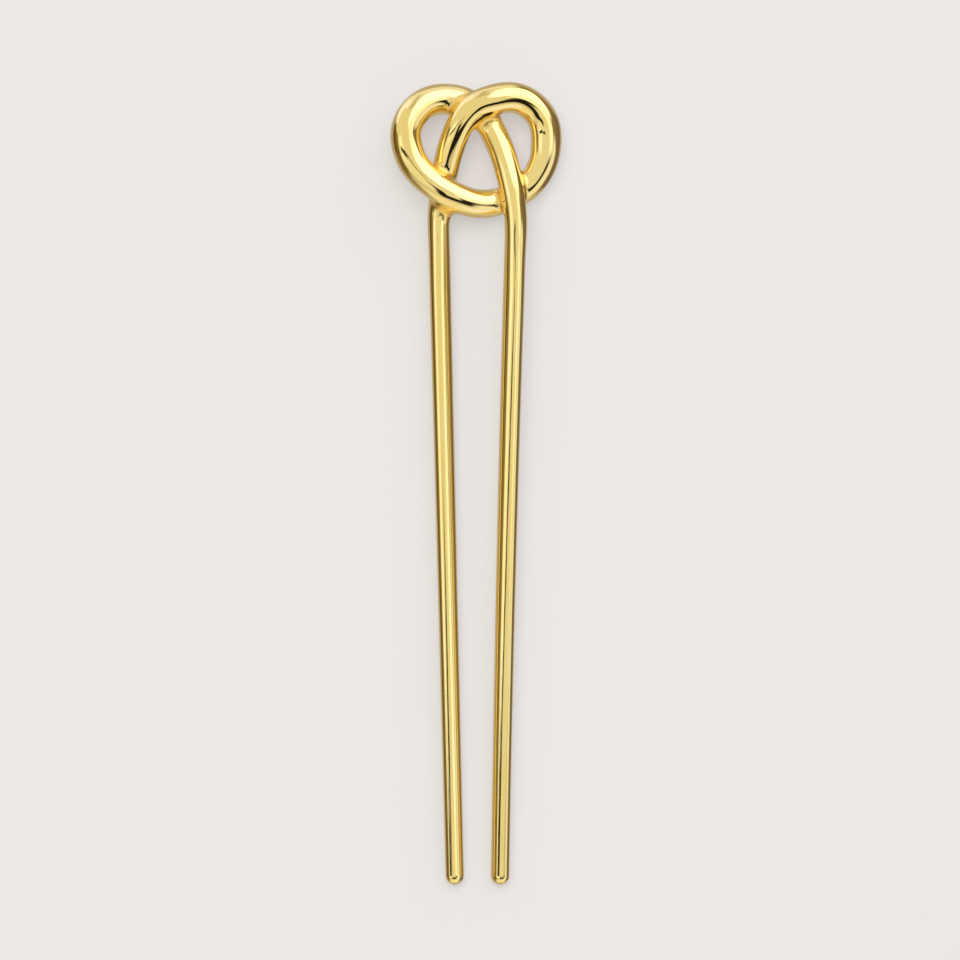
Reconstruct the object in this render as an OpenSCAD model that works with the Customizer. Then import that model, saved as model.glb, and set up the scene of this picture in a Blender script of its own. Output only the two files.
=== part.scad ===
// Hair pin of one bent rod, tied in an open overhand knot with two long legs.
// It lies flat: the knot is towards +Y, the tips towards -Y, and the table is at z = 0.

/* [Overall] */
// Length of the pin, from the tops of the loops to the ends of the tips
pin_length = 115; // [90:1:140]
// Width of the knot across its two loops
knot_w = 24.5; // [21:0.1:28]

/* [Rod] */
// Diameter of the rod round the two loops
loop_d = 4.4; // [3.6:0.1:4.8]
// Diameter of a leg where it leaves the knot
leg_d = 3.1; // [2.4:0.1:3.6]
// Diameter of a leg at its round tip
tip_d = 2.6; // [1.8:0.1:3]

/* [Crossings] */
// Height by which a strand is lifted where it passes over another
lift = 2.5; // [1.5:0.1:3]
// How far the cast webs reach, as a multiple of their usual size
web_size = 1; // [0.5:0.1:1.3]

/* [Legs] */
// Distance between the middles of the two tips
tip_gap = 6.5; // [4:0.1:10]
// How far to the right of the knot's middle the tips lie
tip_shift = 0.2; // [-0.5:0.05:0.5]
// Sideways bow of the right leg, towards the left one
leg_bow = 0.2; // [0:0.05:0.5]

/* [Hidden] */

sides = 22;
dome_rings = 4;
rings_per_knot_row = 5;
rings_per_leg_row = 2;

// The sizes below are drawn for a knot of this width
drawn_knot_w = 24.5;
knot_scale = knot_w / drawn_knot_w;

// Rows through the crossings, in the order in which the rod runs. Columns:
// x and y of the rod's middle line, from the point midway between the loops,
// level of its underside (0 on the table, 1 over another strand),
// and girth, its diameter as a share of loop_d
rising_rows = [
    [-5.35, -12.3, 0.2, 0.72],
    [-5.15, -9.75, 0.1, 0.76],
    [-4.75, -7.15, 0, 0.81],
    [-4.25, -4.15, 0.24, 0.87],
    [-3.45, -1.2, 0.66, 0.9],
    [-2.1, 1.95, 0.98, 0.91],
    [-0.05, 4.25, 1, 0.93]
];
arc_rows = [
    [9.55, -3.8, 0.03, 0.94],
    [7.7, -6.75, 0.05, 0.9],
    [5.05, -8.55, 0, 0.86],
    [2.15, -9.5, 0.11, 0.91],
    [-0.75, -9.45, 0.53, 0.95],
    [-3.55, -8.4, 0.9, 0.96],
    [-6.05, -6.85, 1, 0.96],
    [-8.35, -4.7, 0.99, 0.98]
];
falling_rows = [
    [-1.15, 4.75, 0.03, 0.96],
    [1, 3.05, 0.08, 0.89],
    [2.55, 0.5, 0.27, 0.88],
    [3.75, -2.3, 0.63, 0.86],
    [4.55, -5, 0.84, 0.84],
    [5.15, -7.75, 0.95, 0.81],
    [5.55, -10.4, 1, 0.76],
    [5.7, -13.2, 1, 0.73]
];

// Each loop's middle as x and y, the radius of its middle line, the angles between which
// the rod runs round it, and the levels of its rows
right_loop = [4.5, 0, 5.6, 112, -8, [0.9, 0.66, 0.3, 0.06, 0]];
left_loop = [-4.5, -0.1, 5.55, 202, 82, [0.97, 0.92, 0.72, 0.34, 0.02]];
rows_per_loop = len(right_loop[5]);

// Crossings as x and y, heading and girth of the over strand, heading and girth of the under
// strand, and the reach of the web in each of the four corners between them
crossings = [
    [-4.8, -7.65, 149, 0.95, 81, 0.8, [0.3, 0.2, -0.4, 0.2]],
    [-0.1, 4.15, 42, 0.92, -40, 0.92, [0.4, 1.3, -0.5, 0.5]],
    [5.25, -8.5, -80, 0.8, 24, 0.84, [0.2, 0.3, 0.2, -0.6]]
];
web_ball_r = 0.7;

// Shares of a leg's length at which it has a row, and how fast it tapers
leg_shares = [0.04, 0.1, 0.19, 0.33, 0.53, 0.76, 1];
leg_taper = 1.2;

knot_y = pin_length / 2 - right_loop[2] * knot_scale - loop_d / 2;
tip_y = (tip_d - pin_length) / 2;

function mix(a, b, share) = a + (b - a) * share;
function reversed(list) = [for (i = [len(list) - 1:-1:0]) list[i]];
function unit(v) = v / norm(v);
function xyz(station) = [station[0], station[1], station[2]];

// A row in the rod's own terms becomes a station: the place of its middle line and its diameter
function placed(row) = [
    row[0] * knot_scale,
    knot_y + row[1] * knot_scale,
    row[2] * lift + row[3] * loop_d / 2,
    row[3] * loop_d
];
function all_placed(rows) = [for (row = rows) placed(row)];

function loop_rows(loop) = [for (i = [0:rows_per_loop - 1])
    let (angle = mix(loop[3], loop[4], i / (rows_per_loop - 1)))
    [
        loop[0] + loop[2] * cos(angle),
        loop[1] + loop[2] * sin(angle),
        loop[5][i],
        1
    ]
];

// Stations down a leg, from the knot's last row to the middle of the tip's dome
function leg_stations(top_row, tip_x, bow) =
    let (top = placed(top_row))
    [for (share = leg_shares)
        let (d = mix(tip_d, leg_d, pow(1 - share, leg_taper)))
        [
            mix(top[0], tip_x, share) - bow * 4 * share * (1 - share),
            mix(top[1], tip_y, share),
            top_row[2] * lift * (1 - share) + d / 2,
            d
        ]
    ];

left_leg = reversed(leg_stations(rising_rows[0], tip_shift - tip_gap / 2, 0));
right_leg = leg_stations(falling_rows[len(falling_rows) - 1], tip_shift + tip_gap / 2, leg_bow);
stations = concat(
    left_leg,
    all_placed(rising_rows),
    all_placed(loop_rows(right_loop)),
    all_placed(arc_rows),
    all_placed(loop_rows(left_loop)),
    all_placed(falling_rows),
    right_leg
);

// Control points of the smooth curve that passes through every station
control_passes = 12;
function controls(guess, passes) = passes == 0 ? guess : controls(
    [for (i = [0:len(stations) - 1])
        let (before = guess[max(i - 1, 0)])
        let (after = guess[min(i + 1, len(stations) - 1)])
        (6 * stations[i] - before - after) / 4
    ],
    passes - 1
);
rod_controls = controls(stations, control_passes);

// Sum of the four control points round u, counted in stations, with the given weights
function blended(i, weights) =
    let (last = len(rod_controls) - 1)
    (
        weights[0] * rod_controls[max(i - 1, 0)]
        + weights[1] * rod_controls[i]
        + weights[2] * rod_controls[i + 1]
        + weights[3] * rod_controls[min(i + 2, last)]
    ) / 6;

function station_before(u) = min(floor(u), len(stations) - 2);

function place_at(u) =
    let (i = station_before(u), t = u - i)
    blended(i, [
        pow(1 - t, 3),
        3 * pow(t, 3) - 6 * pow(t, 2) + 4,
        3 * t + 3 * pow(t, 2) - 3 * pow(t, 3) + 1,
        pow(t, 3)
    ]);

function heading_at(u) =
    let (i = station_before(u), t = u - i)
    unit(xyz(blended(i, [
        -3 * pow(1 - t, 2),
        9 * pow(t, 2) - 12 * t,
        3 + 6 * t - 9 * pow(t, 2),
        3 * pow(t, 2)
    ])));

// One ring of the rod, square to its heading
function ring(middle, d, heading) =
    let (across = unit(cross(heading, [0, 0, 1])))
    let (up = cross(across, heading))
    [for (k = [0:sides - 1])
        middle + d / 2 * (across * cos(360 * k / sides) + up * sin(360 * k / sides))
    ];

function rings_along(us) = [for (u = us)
    let (station = place_at(u))
    ring(xyz(station), station[3], heading_at(u))
];

// Rings that round off a tip, from its open end to near its pole, in the given direction
function dome(u, outward) =
    let (tip = place_at(u), heading = heading_at(u))
    [for (k = [1:dome_rings])
        let (a = 90 * k / (dome_rings + 0.5))
        ring(xyz(tip) + outward * heading * tip[3] / 2 * sin(a), tip[3] * cos(a), heading)
    ];

// Places of the rings between two stations of the rod
function stops(first, final, rings_per_row) =
    [for (k = [first * rings_per_row:final * rings_per_row - 1]) k / rings_per_row];

// Solid through a list of rings, joined by triangles and closed at both ends
module swept(rings) {
    last = len(rings) - 1;
    points = [for (r = rings) each r];
    walls = [for (i = [0:last - 1], k = [0:sides - 1])
        let (near = i * sides + k, beside = i * sides + (k + 1) % sides)
        each [[near, beside, beside + sides], [near, beside + sides, near + sides]]
    ];
    start = [for (k = [sides - 1:-1:0]) k];
    end = [for (k = [0:sides - 1]) last * sides + k];
    polyhedron(points, concat([start], walls, [end]));
}

// The rod is two runs that meet in the lower arc, so that neither crosses itself
module rod() {
    knot_start = len(left_leg);
    meeting = len(left_leg) + len(rising_rows) + rows_per_loop + 4;
    knot_end = len(stations) - len(right_leg) - 1;
    final = len(stations) - 1;
    first_run = concat(
        stops(0, knot_start, rings_per_leg_row),
        stops(knot_start, meeting, rings_per_knot_row),
        [meeting]
    );
    second_run = concat(
        stops(meeting, knot_end, rings_per_knot_row),
        stops(knot_end, final, rings_per_leg_row),
        [final]
    );
    swept(concat(reversed(dome(0, -1)), rings_along(first_run)));
    swept(concat(rings_along(second_run), dome(final, 1)));
}

module web_ball(x, y, z) {
    translate([x * knot_scale, knot_y + y * knot_scale, z]) sphere(r = web_ball_r, $fn = 16);
}

// Cast webs that fill the four corners between an over strand and an under strand
module crossing_webs(crossing) {
    over_way = [cos(crossing[2]), sin(crossing[2])];
    under_way = [cos(crossing[4]), sin(crossing[4])];
    spread = abs(sin(crossing[2] - crossing[4]));
    over_r = crossing[3] * loop_d / 2;
    under_r = crossing[5] * loop_d / 2;
    over_z = lift + over_r;
    middle = [crossing[0], crossing[1]];
    for (corner = [0:3]) {
        a = corner < 2 ? -1 : 1;
        b = corner % 2 == 0 ? -1 : 1;
        reach = crossing[6][corner] * web_size;
        on_over = middle
            + a * over_way * (under_r / spread + reach)
            + b * under_way * (over_r - web_ball_r) / spread;
        on_under = middle
            + a * over_way * (under_r - web_ball_r) / spread
            + b * under_way * (over_r / spread + reach);
        hull() {
            web_ball(middle[0], middle[1], (over_z + under_r) / 2);
            web_ball(on_over[0], on_over[1], mix(over_z, under_r, 0.3));
            web_ball(on_under[0], on_under[1], mix(over_z, under_r, 0.7));
        }
    }
}

module hair_pin() {
    color([0.93, 0.78, 0.45]) {
        rod();
        for (crossing = crossings) crossing_webs(crossing);
    }
}

hair_pin();
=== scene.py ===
from math import cos, radians, sin

import bmesh
import bpy
import numpy as np
from mathutils import Matrix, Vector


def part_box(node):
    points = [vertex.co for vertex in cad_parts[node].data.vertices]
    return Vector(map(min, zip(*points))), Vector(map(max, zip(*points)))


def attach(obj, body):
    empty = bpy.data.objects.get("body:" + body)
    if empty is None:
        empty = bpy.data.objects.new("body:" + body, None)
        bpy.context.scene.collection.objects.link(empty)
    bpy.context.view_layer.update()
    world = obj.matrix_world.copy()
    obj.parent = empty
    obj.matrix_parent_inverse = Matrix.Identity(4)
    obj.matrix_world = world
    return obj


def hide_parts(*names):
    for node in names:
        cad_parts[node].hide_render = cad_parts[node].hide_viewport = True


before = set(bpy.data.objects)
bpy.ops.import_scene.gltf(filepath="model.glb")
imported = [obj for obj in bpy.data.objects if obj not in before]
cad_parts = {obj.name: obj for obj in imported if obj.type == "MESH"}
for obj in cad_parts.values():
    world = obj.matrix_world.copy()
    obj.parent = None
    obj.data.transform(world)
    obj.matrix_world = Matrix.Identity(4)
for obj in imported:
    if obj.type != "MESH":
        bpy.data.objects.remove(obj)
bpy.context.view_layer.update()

# The pin: its middle line
# The real pin is one round rod of cast brass, bent into an open overhand knot at the top and
# running down into two tapering legs. The rod's middle line passes through rows of places,
# each with the level of its underside and the rod's thickness there.
mm = 0.001
pin_low, pin_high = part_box("hair_pin")
loop_d = 4.4 * mm
leg_d = 3.1 * mm
tip_d = 2.6 * mm
lift = 2.5 * mm
tip_gap = 6.5 * mm
tip_shift = 0.2 * mm
leg_bow = 0.2 * mm
leg_taper = 1.2
leg_shares = [0.04, 0.1, 0.19, 0.33, 0.53, 0.76, 1]

# Columns: x and y in mm from the point midway between the loops, level of the rod's
# underside (0 on the table, 1 over another strand), and thickness as a share of loop_d
rising_rows = [
    [-5.35, -12.3, 0.2, 0.72],
    [-5.15, -9.75, 0.1, 0.76],
    [-4.75, -7.15, 0, 0.81],
    [-4.25, -4.15, 0.24, 0.87],
    [-3.45, -1.2, 0.66, 0.9],
    [-2.1, 1.95, 0.98, 0.91],
    [-0.05, 4.25, 1, 0.93],
]
arc_rows = [
    [9.55, -3.8, 0.03, 0.94],
    [7.7, -6.75, 0.05, 0.9],
    [5.05, -8.55, 0, 0.86],
    [2.15, -9.5, 0.11, 0.91],
    [-0.75, -9.45, 0.53, 0.95],
    [-3.55, -8.4, 0.9, 0.96],
    [-6.05, -6.85, 1, 0.96],
    [-8.35, -4.7, 0.99, 0.98],
]
falling_rows = [
    [-1.15, 4.75, 0.03, 0.96],
    [1, 3.05, 0.08, 0.89],
    [2.55, 0.5, 0.27, 0.88],
    [3.75, -2.3, 0.63, 0.86],
    [4.55, -5, 0.84, 0.84],
    [5.15, -7.75, 0.95, 0.81],
    [5.55, -10.4, 1, 0.76],
    [5.7, -13.2, 1, 0.73],
]
# Each loop: middle x and y, radius, first and last angle, and the levels of its evenly spaced rows
right_loop = [4.5, 0, 5.6, 112, -8, [0.9, 0.66, 0.3, 0.06, 0]]
left_loop = [-4.5, -0.1, 5.55, 202, 82, [0.97, 0.92, 0.72, 0.34, 0.02]]
rows_per_loop = len(right_loop[-1])

knot_y = pin_high.y - right_loop[2] * mm - loop_d / 2
tip_y = pin_low.y + tip_d / 2


def placed(row):
    x, y, level, girth = row
    return [x * mm, knot_y + y * mm, level * lift + girth * loop_d / 2, girth * loop_d]


def loop_rows(loop):
    x, y, r, first, last, levels = loop
    angles = np.radians(np.linspace(first, last, rows_per_loop))
    return [[x + r * cos(a), y + r * sin(a), level, 1] for a, level in zip(angles, levels)]


def leg_stations(top_row, tip_x, bow):
    x, y, _, _ = placed(top_row)
    rise = top_row[2] * lift
    stations = []
    for share in leg_shares:
        d = tip_d + (leg_d - tip_d) * (1 - share) ** leg_taper
        stations.append([
            x + (tip_x - x) * share - bow * 4 * share * (1 - share),
            y + (tip_y - y) * share,
            rise * (1 - share) + d / 2,
            d,
        ])
    return stations


left_leg = leg_stations(rising_rows[0], tip_shift - tip_gap / 2, 0)[::-1]
right_leg = leg_stations(falling_rows[-1], tip_shift + tip_gap / 2, leg_bow)
knot_rows = rising_rows + loop_rows(right_loop) + arc_rows + loop_rows(left_loop) + falling_rows
stations = np.array(left_leg + [placed(row) for row in knot_rows] + right_leg)
last_station = len(stations) - 1

# Control points of the smooth curve that passes through every station
control_passes = 12
controls = stations.copy()
for _ in range(control_passes):
    before = np.vstack([controls[:1], controls[:-1]])
    after = np.vstack([controls[1:], controls[-1:]])
    controls = (6 * stations - before - after) / 4


def rod(u, slope=0):
    """Middle line and thickness at u, counted in stations, or their first or second slope."""
    u = np.clip(u, 0, last_station)
    i = np.minimum(np.floor(u).astype(int), last_station - 1)
    t = u - i
    weights = [
        [(1 - t) ** 3, 3 * t ** 3 - 6 * t ** 2 + 4, 3 * t + 3 * t ** 2 - 3 * t ** 3 + 1, t ** 3],
        [-3 * (1 - t) ** 2, 9 * t ** 2 - 12 * t, 3 + 6 * t - 9 * t ** 2, 3 * t ** 2],
        [6 * (1 - t), 18 * t - 12, 6 - 18 * t, 6 * t],
    ][slope]
    return sum(
        w[..., None] * controls[np.clip(i + step, 0, last_station)]
        for w, step in zip(weights, [-1, 0, 1, 2])
    ) / 6


# The pin: its body
# Cast brass, so the strands are fused where they cross, with a smooth web in each corner. The
# rod is drawn as a round curve with ball ends, joined into one skin by a fine remesh, and that
# skin is drawn onto the exact round rod and its webs.
skin_step = 0.2 * mm
path_points = 700
path_facets = 6
ball_segments = 32
drawing_passes = 4
length_steps = 4000
# Crossings: x and y, headings of the over and the under strand, and the size of the web in
# each of the four corners between them, all in mm and degrees
crossings = [
    [-4.8, -7.65, 149, 81, [2.3, 1.1, 1.3, 1.1]],
    [-0.1, 4.15, 42, -40, [1.3, 1.9, 0.35, 1.4]],
    [5.25, -8.5, -80, 24, [1.1, 1.2, 1.1, 0.35]],
]
corner_reach = 1.5 * mm
# The legs are a little out of round, by this share of their thickness, widest on the slant
leg_oval = -0.074
leg_oval_ends = [len(left_leg) - 2, len(left_leg)]
# Stations at the middles of the two loops, where the rod is parted into three plain stretches
right_loop_mid = len(left_leg) + len(rising_rows) + rows_per_loop / 2
left_loop_mid = right_loop_mid + rows_per_loop + len(arc_rows)
stretches = [(0, right_loop_mid), (right_loop_mid, left_loop_mid), (left_loop_mid, last_station)]
# Stretches count as crossing only where they lie this many stations apart along the rod
crossing_apart = 2.5
# Nearest places on the rod are looked for this many stations apart, for one batch of points at
# a time, and are then refined in a few steps of limited length
try_step = 0.1
batch = 8000
refinements = 3
longest_refinement = 0.3


def finished_mesh(holder):
    """Mesh of an object with its thickness or modifiers applied, and the object removed."""
    bpy.context.scene.collection.objects.link(holder)
    made = bpy.data.meshes.new_from_object(holder.evaluated_get(bpy.context.evaluated_depsgraph_get()))
    bpy.data.objects.remove(holder)
    return made


def rough_rod():
    curve = bpy.data.curves.new("rod_path", "CURVE")
    curve.dimensions = "3D"
    curve.bevel_depth = 1.0
    curve.bevel_resolution = path_facets
    curve.use_fill_caps = True
    spline = curve.splines.new("POLY")
    spline.points.add(path_points - 1)
    line = rod(np.linspace(0, last_station, path_points))
    for point, place in zip(spline.points, line):
        point.co = (*place[:3], 1)
        point.radius = place[3] / 2
    made = finished_mesh(bpy.data.objects.new("rod_path", curve))
    bm = bmesh.new()
    bm.from_mesh(made)
    for place in (line[0], line[-1]):
        bmesh.ops.create_uvsphere(
            bm,
            u_segments=ball_segments,
            v_segments=ball_segments // 2,
            radius=place[3] / 2,
            matrix=Matrix.Translation(place[:3]),
        )
    bm.to_mesh(made)
    bm.free()
    return made


def fused(rough):
    holder = bpy.data.objects.new("rod_rough", rough)
    remesh = holder.modifiers.new("one_skin", "REMESH")
    remesh.mode = "VOXEL"
    remesh.voxel_size = skin_step
    remesh.use_smooth_shade = True
    return finished_mesh(holder)


def across(u):
    """Level and upright directions square to the rod at u."""
    way = rod(u, 1)[:, :3]
    side = np.cross(way, [0, 0, 1])
    side /= np.linalg.norm(side, axis=1)[:, None]
    up = np.cross(side, way)
    up /= np.linalg.norm(up, axis=1)[:, None]
    return side, up


def nearest_on(points, first, last):
    """Station of the middle line nearest each point, within one stretch."""
    tries = np.arange(first, last, try_step)
    line = rod(tries)[:, :3]
    line_sq = (line ** 2).sum(1)
    u = np.empty(len(points))
    for start in range(0, len(points), batch):
        part = points[start:start + batch]
        u[start:start + batch] = tries[np.argmin(line_sq - 2 * part @ line.T, axis=1)]
    for _ in range(refinements):
        gap = rod(u)[:, :3] - points
        way = rod(u, 1)[:, :3]
        bend = rod(u, 2)[:, :3]
        change = (gap * way).sum(1) / np.maximum((way * way).sum(1) + (gap * bend).sum(1), 1e-9)
        u = np.clip(u - np.clip(change, -longest_refinement, longest_refinement), first, last)
    return u


def web_sizes(points):
    """Size of the cast web at each point, from the nearest crossing and the corner it lies in."""
    sizes = np.zeros(len(points))
    nearest = np.full(len(points), np.inf)
    for x, y, over, under, corners in crossings:
        over_way = np.array([cos(radians(over)), sin(radians(over))])
        under_way = np.array([cos(radians(under)), sin(radians(under))])
        away = points[:, :2] - [x * mm, knot_y + y * mm]
        along = np.linalg.solve(np.stack([over_way, under_way], axis=1), away.T) / corner_reach
        s, t = np.clip(along, -1, 1) / 2 + 0.5
        low = corners[0] * (1 - t) + corners[1] * t
        high = corners[2] * (1 - t) + corners[3] * t
        distance = np.linalg.norm(away, axis=1)
        sizes = np.where(distance < nearest, (low * (1 - s) + high * s) * mm, sizes)
        nearest = np.minimum(distance, nearest)
    return sizes


def to_skin(points):
    """Height of each point over the pin's skin, the outward direction, and where it lies."""
    us = np.array([nearest_on(points, *stretch) for stretch in stretches])
    places = np.array([rod(u) for u in us])
    away = points - places[:, :, :3]
    lengths = np.linalg.norm(away, axis=2)
    heights = lengths - places[:, :, 3] / 2
    outward = away / lengths[:, :, None]
    pick = np.argmin(heights, axis=0)
    row = np.arange(len(points))
    height = heights[pick, row]
    direction = outward[pick, row]
    own_u = us[pick, row]
    web = web_sizes(points)
    join = np.zeros(len(points))
    for other in range(len(stretches)):
        apart = np.abs(us[other] - own_u) > crossing_apart
        share = np.clip(1 - (heights[other] - heights[pick, row]) / web, 0, 1) * apart
        height = height - share ** 2 * web / 4
        direction = direction + share[:, None] / 2 * (outward[other] - outward[pick, row])
        join = np.maximum(join, share)
    return height, direction, own_u, join


def out_of_round(points, direction, own_u):
    """Points and outward directions with the legs' round section made a slanted oval."""
    side, up = across(own_u)
    middle = rod(own_u)
    away = points - middle[:, :3]
    a = (away * side).sum(1)
    b = (away * up).sum(1)
    radius = middle[:, 3] / 2
    first, last = leg_oval_ends
    from_end = np.minimum(own_u, last_station - own_u)
    oval = leg_oval * np.clip((last - from_end) / (last - first), 0, 1)
    slant = 2 * a * b / radius ** 2
    level = (a ** 2 - b ** 2) / radius ** 2
    points = points + (oval * slant)[:, None] * (a[:, None] * side + b[:, None] * up)
    round_way = (a[:, None] * up - b[:, None] * side) / radius[:, None]
    return points, direction - (2 * oval * level)[:, None] * round_way


def drawn_onto_rod(skin):
    points = np.empty(len(skin.vertices) * 3)
    skin.vertices.foreach_get("co", points)
    points = points.reshape(-1, 3)
    for _ in range(drawing_passes):
        height, direction, _, _ = to_skin(points)
        points = points - direction * (height / (direction ** 2).sum(1))[:, None]
    _, direction, own_u, join = to_skin(points)
    points, direction = out_of_round(points, direction, own_u)
    skin.vertices.foreach_set("co", points.ravel())
    direction /= np.linalg.norm(direction, axis=1)[:, None]
    skin.polygons.foreach_set("use_smooth", np.ones(len(skin.polygons), dtype=bool))
    skin.normals_split_custom_set_from_vertices(direction)
    add_rod_space(skin, points, own_u, join)


def add_rod_space(skin, points, own_u, join):
    """Attributes: place on the rod as if it were straight, and nearness to a fused crossing."""
    steps = np.linspace(0, last_station, length_steps)
    line = rod(steps)[:, :3]
    lengths = np.concatenate([[0], np.cumsum(np.linalg.norm(np.diff(line, axis=0), axis=1))])
    along = np.interp(own_u, steps, lengths)
    side, up = across(own_u)
    away = points - rod(own_u)[:, :3]
    straight = np.stack([along, (away * side).sum(1), (away * up).sum(1)], axis=1)
    skin.attributes.new("rod_space", "FLOAT_VECTOR", "POINT").data.foreach_set("vector", straight.ravel())
    skin.attributes.new("join", "FLOAT", "POINT").data.foreach_set("value", join)


skin = fused(rough_rod())
drawn_onto_rod(skin)
pin = bpy.data.objects.new("polished_pin", skin)
bpy.context.scene.collection.objects.link(pin)


# The pin: its gold plating
# A thin, hard layer of yellow gold over the polished brass. The casting is a little wavy under
# it, the polishing wheel has left faint lines along the rod, and it can't reach into the
# corners between the strands, which stay a little duller. These corners are also painted a
# darker, warmer gold: painted shade and a painted warm reflection of the strands beside them.
gold = (0.97, 0.735, 0.265, 1)
pale_gold = (0.975, 0.755, 0.305, 1)
# Darker, warmer gold painted into the corners between strands as shade and warm reflection
corner_shade_gold = (0.94, 0.63, 0.17, 1)
# How fine each pattern is along the rod and across it, in spots per metre
wave_grain = (110, 380, 380)
cloud_grain = (90, 200, 200)
line_grain = (160, 9000, 9000)
speck_grain = (5200, 5200, 5200)
wave_height = 0.012 * mm
line_height = 0.0006 * mm
# Levels of each pattern, and of the nearness to a join, between which its effect grows to full
cloud_edges = (0.35, 0.65)
line_edges = (0.42, 0.72)
speck_edges = (0.66, 0.78)
# The nearness to a join over which the painted corner shade grows in
corner_shade_edges = (0.15, 0.95)
corner_haze_edges = (0.04, 0.7)
# Roughness between and in the wheel's lines, and what the corners and the specks add to it
line_roughness = (0.04, 0.1)
corner_roughness = (0, 0.25)
speck_roughness = (0, 0.12)


def add_node(tree, kind, **settings):
    made = tree.nodes.new(kind)
    for name, value in settings.items():
        setattr(made, name, value)
    return made


def ranged(tree, value, edges, results):
    """First result up to the first edge, the second from the second edge on, smooth between."""
    made = add_node(tree, "ShaderNodeMapRange", interpolation_type="SMOOTHSTEP")
    tree.links.new(value, made.inputs["Value"])
    for name, level in zip(("From Min", "From Max", "To Min", "To Max"), (*edges, *results)):
        made.inputs[name].default_value = level
    return made.outputs[0]


def mixed(tree, share, a, b):
    """Colour a with a share of b over it, each a plain colour or the output of a node."""
    made = add_node(tree, "ShaderNodeMix", data_type="RGBA")
    tree.links.new(share, made.inputs["Factor"])
    for value, socket in ((a, made.inputs[6]), (b, made.inputs[7])):
        if isinstance(value, tuple):
            socket.default_value = value
        else:
            tree.links.new(value, socket)
    return made.outputs[2]


def gold_plating():
    made = bpy.data.materials.new("gold_plating")
    made.use_nodes = True
    tree = made.node_tree
    shader = tree.nodes["Principled BSDF"]
    shader.inputs["Metallic"].default_value = 1.0

    def noise(place, grain, detail):
        moved = add_node(tree, "ShaderNodeVectorMath", operation="MULTIPLY")
        tree.links.new(place, moved.inputs[0])
        moved.inputs[1].default_value = grain
        texture = add_node(tree, "ShaderNodeTexNoise")
        tree.links.new(moved.outputs[0], texture.inputs["Vector"])
        texture.inputs["Scale"].default_value = 1.0
        texture.inputs["Detail"].default_value = detail
        return texture.outputs["Fac"]

    def added(a, b):
        total = add_node(tree, "ShaderNodeMath", operation="ADD")
        tree.links.new(a, total.inputs[0])
        tree.links.new(b, total.inputs[1])
        return total.outputs[0]

    def bumped(height, distance, under=None):
        bump = add_node(tree, "ShaderNodeBump")
        tree.links.new(height, bump.inputs["Height"])
        bump.inputs["Distance"].default_value = distance
        if under is not None:
            tree.links.new(under, bump.inputs["Normal"])
        return bump.outputs["Normal"]

    rod_space = add_node(tree, "ShaderNodeAttribute", attribute_name="rod_space").outputs["Vector"]
    join = add_node(tree, "ShaderNodeAttribute", attribute_name="join").outputs["Fac"]
    waves = noise(rod_space, wave_grain, detail=1)
    clouds = noise(rod_space, cloud_grain, detail=3)
    polish_lines = noise(rod_space, line_grain, detail=3)
    specks = noise(rod_space, speck_grain, detail=2)

    # Painted shade: a darker, warmer gold near the fused crossings
    in_corner_shade = ranged(tree, join, corner_shade_edges, (0, 1))
    in_cloud = ranged(tree, clouds, cloud_edges, (0, 1))
    plating = mixed(tree, in_cloud, gold, pale_gold)
    tree.links.new(mixed(tree, in_corner_shade, plating, corner_shade_gold), shader.inputs["Base Color"])

    wheel_haze = ranged(tree, polish_lines, line_edges, line_roughness)
    corner_haze = ranged(tree, join, corner_haze_edges, corner_roughness)
    speck_haze = ranged(tree, specks, speck_edges, speck_roughness)
    roughness = added(added(wheel_haze, corner_haze), speck_haze)
    tree.links.new(roughness, shader.inputs["Roughness"])

    cast_waves = bumped(waves, wave_height)
    wheel_lines = bumped(polish_lines, line_height, cast_waves)
    tree.links.new(wheel_lines, shader.inputs["Normal"])
    return made


skin.materials.clear()
skin.materials.append(gold_plating())
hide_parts("hair_pin")
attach(pin, "root")

# The studio tent
# Soft white cloth and cards round the pin, a large lamp and a black stand, drawn as the scene's
# surroundings on a flat map of the sky: east and north of straight up, in degrees, so that 90
# is the horizon.
dim_studio = (0.26, 0.21, 0.14, 1)
under_tent = (0.52, 0.48, 0.47, 1)
# Degrees from straight up at which the dim studio ends, and width of the change to what is under it
tent_foot = 104
tent_fade = 20

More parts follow.
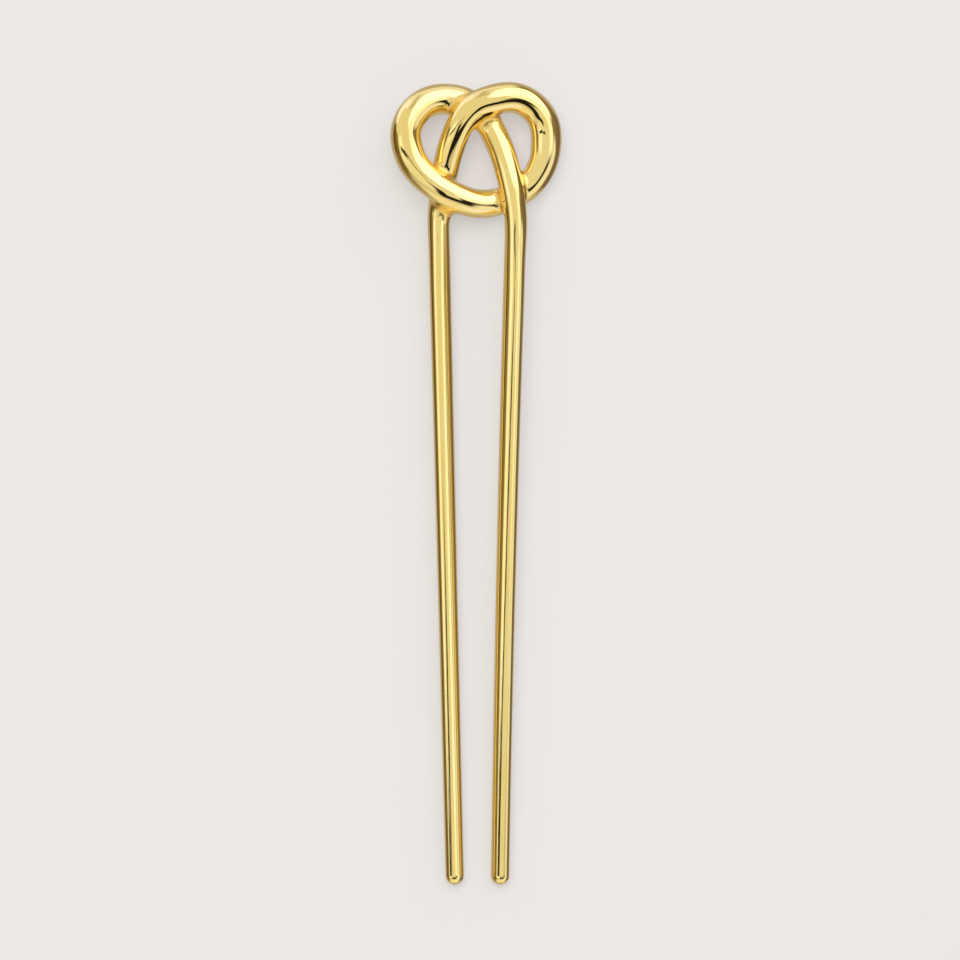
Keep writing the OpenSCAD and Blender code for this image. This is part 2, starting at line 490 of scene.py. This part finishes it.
# Panels, each laid over the ones before it. Columns: middle east and north, half width and
# half height, corner radius, turn and edge softness in degrees, brightness, and tint
panels = [
    # Low walls of the tent in the north, north-west and south, and its roof
    [-28, 80, 64, 28, 24, 0, 28, 0.93, (1, 1.03, 1.2)],
    [-64, 56, 30, 30, 24, 20, 26, 1.12, (1, 1.04, 1.5)],
    [4, -68, 66, 46, 34, 0, 26, 0.66, (1, 0.98, 0.9)],
    [-10, 4, 50, 44, 38, 0, 18, 0.85, (1, 1.01, 0.92)],
    # Gaps in the south-west and west walls
    [-68, -24, 15, 28, 12, -34, 16, 0.18, (1, 0.8, 0.35)],
    [-92, 6, 9, 30, 8, -8, 12, 0.1, (1, 0.75, 0.3)],
    # Black camera stand: its foot, its arm and the bend between them
    [8, -32, 26, 9, 6, 5, 5, 0.015, (1, 1, 1)],
    [-5, -24, 7.5, 15, 6, 0, 5, 0.015, (1, 1, 1)],
    [34, -17, 7.5, 17, 6, -22, 8, 0.015, (1, 1, 1)],
    # Cards to both sides of the stand and above it
    [60, -32, 19, 34, 14, -28, 8, 0.93, (1, 1.05, 1.15)],
    [-38, -10, 25, 24, 18, -11, 12, 0.9, (1, 1.01, 0.94)],
    [-20, 23, 52, 26, 12, -20, 8, 0.83, (1, 1.01, 0.92)],
    [-42, -4, 11, 12, 8, 0, 12, 1.12, (1, 1.08, 1.2)],
    # Far east and south walls
    [106, -16, 24, 64, 20, 0, 18, 0.18, (1, 0.85, 0.75)],
    [-4, -74, 50, 22, 16, 0, 16, 0.94, (1, 0.98, 0.85)],
    [28, -68, 18, 14, 12, 0, 14, 1.02, (1, 1.02, 1.3)],
    # Frame, face and foot of the main lamp
    [34, 43, 38, 34, 26, 0, 7, 0.55, (1, 1, 0.7)],
    [34, 43, 35, 31, 22, 0, 9, 1.6, (1, 1.08, 1.35)],
    [40, 5, 13, 12, 8, 0, 9, 1.2, (1, 1.06, 1.2)],
    # Seam of the roof, and the camera's cable with its box
    [-17, 64, 7, 18, 6, 0, 14, 0.58, (1, 1, 0.8)],
    [-19, -3.7, 16, 1, 0.8, 7, 0.8, 0.015, (1, 1, 1)],
    [-38, -7, 12, 2.4, 1.5, 0, 1, 0.015, (1, 1, 1)],
]


def studio_tent():
    world = bpy.data.worlds.new("studio_tent")
    world.use_nodes = True
    tree = world.node_tree

    def vector(operation, a, b=None):
        made = add_node(tree, "ShaderNodeVectorMath", operation=operation)
        tree.links.new(a, made.inputs[0])
        if b is not None:
            made.inputs[1].default_value = b
        return made

    direction = add_node(tree, "ShaderNodeTexCoord").outputs["Generated"]
    parts = add_node(tree, "ShaderNodeSeparateXYZ")
    tree.links.new(direction, parts.inputs[0])
    from_top = add_node(tree, "ShaderNodeMath", operation="ARCCOSINE")
    tree.links.new(parts.outputs["Z"], from_top.inputs[0])
    degrees_from_top = add_node(tree, "ShaderNodeMath", operation="DEGREES")
    tree.links.new(from_top.outputs[0], degrees_from_top.inputs[0])
    level = vector("MULTIPLY", direction, (1, 1, 0))
    bearing = vector("NORMALIZE", level.outputs[0])
    sky = vector("SCALE", bearing.outputs[0])
    tree.links.new(degrees_from_top.outputs[0], sky.inputs["Scale"])

    below = ranged(tree, degrees_from_top.outputs[0], (tent_foot, tent_foot + tent_fade), (0, 1))
    light = mixed(tree, below, dim_studio, under_tent)
    for east, north, half_w, half_h, corner, turn, soft, brightness, tint in panels:
        moved = vector("SUBTRACT", sky.outputs[0], (east, north, 0))
        turned = add_node(tree, "ShaderNodeVectorRotate", rotation_type="Z_AXIS")
        turned.inputs["Angle"].default_value = radians(-turn)
        tree.links.new(moved.outputs[0], turned.inputs["Vector"])
        folded = vector("ABSOLUTE", turned.outputs[0])
        past = vector("SUBTRACT", folded.outputs[0], (half_w - corner, half_h - corner, 0))
        outside = vector("MAXIMUM", past.outputs[0], (0, 0, 0))
        distance = vector("LENGTH", outside.outputs[0]).outputs["Value"]
        cover = ranged(tree, distance, (corner - soft / 2, corner + soft / 2), (1, 0))
        light = mixed(tree, cover, light, (*(brightness * c for c in tint), 1))
    tree.links.new(light, tree.nodes["Background"].inputs["Color"])
    bpy.context.scene.world = world


studio_tent()

# The table
# A plain pale board under the pin. Part of its brightness is a glow, so that the pin's shade on
# it stays soft and pale.
table_half_width = 0.6
table_paint = (0.31, 0.29, 0.26, 1)
table_glow = (0.436, 0.424, 0.43, 1)


def table_top():
    bm = bmesh.new()
    bmesh.ops.create_grid(bm, x_segments=1, y_segments=1, size=table_half_width)
    made = bpy.data.meshes.new("table_top")
    bm.to_mesh(made)
    bm.free()
    top = bpy.data.objects.new("table_top", made)
    bpy.context.scene.collection.objects.link(top)
    paint = bpy.data.materials.new("pale_table")
    paint.use_nodes = True
    shader = paint.node_tree.nodes["Principled BSDF"]
    shader.inputs["Base Color"].default_value = table_paint
    shader.inputs["Roughness"].default_value = 0.9
    shader.inputs["Specular IOR Level"].default_value = 0.0
    shader.inputs["Emission Color"].default_value = table_glow
    shader.inputs["Emission Strength"].default_value = 1.0
    made.materials.append(paint)
    top.visible_glossy = False


table_top()

# The high lamp
# A wide soft lamp high in the north-west, which lights the table. The pin doesn't mirror it.
lamp_place = (-0.25, 0.55, 1.5)
lamp_size = 1.1
lamp_watts = 15


def high_lamp():
    lamp = bpy.data.lights.new("high_lamp", "AREA")
    lamp.size = lamp_size
    lamp.energy = lamp_watts
    holder = bpy.data.objects.new("high_lamp", lamp)
    holder.location = lamp_place
    holder.rotation_euler = (-holder.location).to_track_quat("-Z", "Y").to_euler()
    holder.visible_glossy = False
    holder.visible_camera = False
    bpy.context.scene.collection.objects.link(holder)


high_lamp()

# The camera
# It looks straight down at the middle of the photo, where the pin is 115 mm long and takes up
# 803 of the 960 pixels.
pin_length = 115 * mm
pin_px = 803
photo_px = 960
photo_scale = pin_length / pin_px
view_middle = (0.00057, 0.00053)
# Height of the camera above the pin, and the level of the pin that it is measured from
camera_height = 1.0
view_level = 0.0025
film_width = 36

camera = bpy.data.cameras.new("camera")
camera.sensor_width = film_width
camera.lens = film_width * camera_height / (photo_px * photo_scale)
view = bpy.data.objects.new("camera", camera)
view.location = (*view_middle, camera_height + view_level)
bpy.context.scene.collection.objects.link(view)
bpy.context.scene.camera = view
bpy.context.scene.view_settings.view_transform = "Standard"
